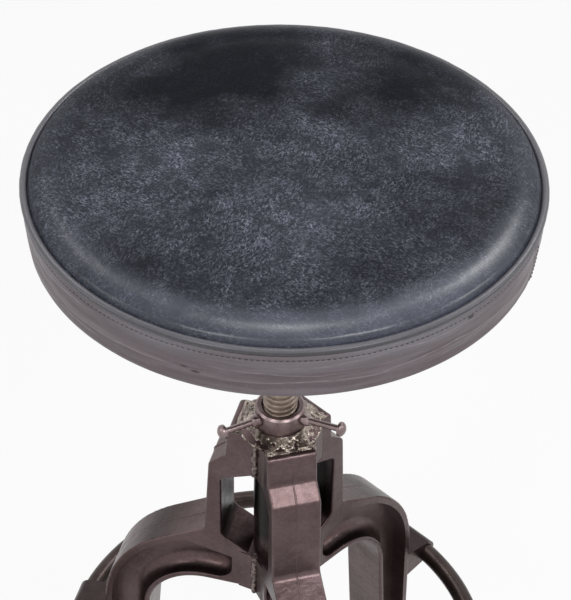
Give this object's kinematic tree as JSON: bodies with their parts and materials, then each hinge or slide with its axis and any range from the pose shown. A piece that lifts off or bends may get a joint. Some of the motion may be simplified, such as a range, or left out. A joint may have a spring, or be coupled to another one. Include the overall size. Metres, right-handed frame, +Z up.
{
  "type": "machinist stool",
  "caption": "Round leather-padded work stool on a threaded height-adjusting column, with a cast-iron leg base, foot ring and hand-tightened locking collar.",
  "frame": {"origin": "on the floor, on the column's axis, under the middle of the seat", "axes": "+Z up along the column; the front leg points along -Y; +X to the sitter's left when facing along -Y"},
  "size_m": [0.356, 0.356, 0.704],
  "materials": {
    "leather_top": "worn satin, scratched",
    "leather_side": "creased satin",
    "leather_piping": "worn satin",
    "cast_iron": "waxed, dark bronze brown",
    "ring_steel": "waxed, worn",
    "lock_steel": "waxed",
    "screw_steel": "greased",
    "bush_bronze": "machined",
    "glide_steel": "worn",
    "bolt_steel": "zinc plated, dulled",
    "board_wood": "plywood",
    "foam": "open foam",
    "dust_cloth": "woven"
  },
  "bodies": {
    "base": {"centre_tube": "cast_iron", "thread_nut": "bush_bronze", "guide_bush": "bush_bronze", "leg_casting_front": "cast_iron", "leg_casting_right": "cast_iron", "leg_casting_left": "cast_iron", "glide_front": "glide_steel", "glide_right": "glide_steel", "glide_left": "glide_steel", "foot_ring": "ring_steel"},
    "lock": {"lock_collar": "lock_steel", "lock_handle_a": "lock_steel", "lock_handle_b": "lock_steel", "lock_handle_c": "lock_steel"},
    "stop": {"stop_washer": "bolt_steel"},
    "seat": {"lead_screw": "screw_steel", "stop_bolt": "bolt_steel", "seat_flange": "cast_iron", "cross_pin": "bolt_steel", "flange_bolts": "bolt_steel", "tee_nuts": "bolt_steel", "seat_board": "board_wood", "dust_cover": "dust_cloth", "seat_foam": "foam", "leather_band": "leather_side", "leather_top": "leather_top", "top_piping": "leather_piping"}
  },
  "joints": [
    {"name": "screw_rise", "type": "slide", "parent": "base", "child": "stop", "axis": [0, 0, 1], "range_m": [-0.1322, 0.0535]},
    {"name": "seat_turn", "type": "hinge", "parent": "stop", "child": "seat", "pos_m": [0, 0, 0.45], "axis": [0, 0, 1], "range_deg": [-9360, 3780]},
    {"name": "lock_turn", "type": "hinge", "parent": "base", "child": "lock", "pos_m": [0, 0, 0.469], "axis": [0, 0, 1], "range_deg": [0, 90]}
  ],
  "couplings": [
    {"joint": "screw_rise", "follows": "seat_turn", "m_per_rad": 0.00080851}
  ]
}
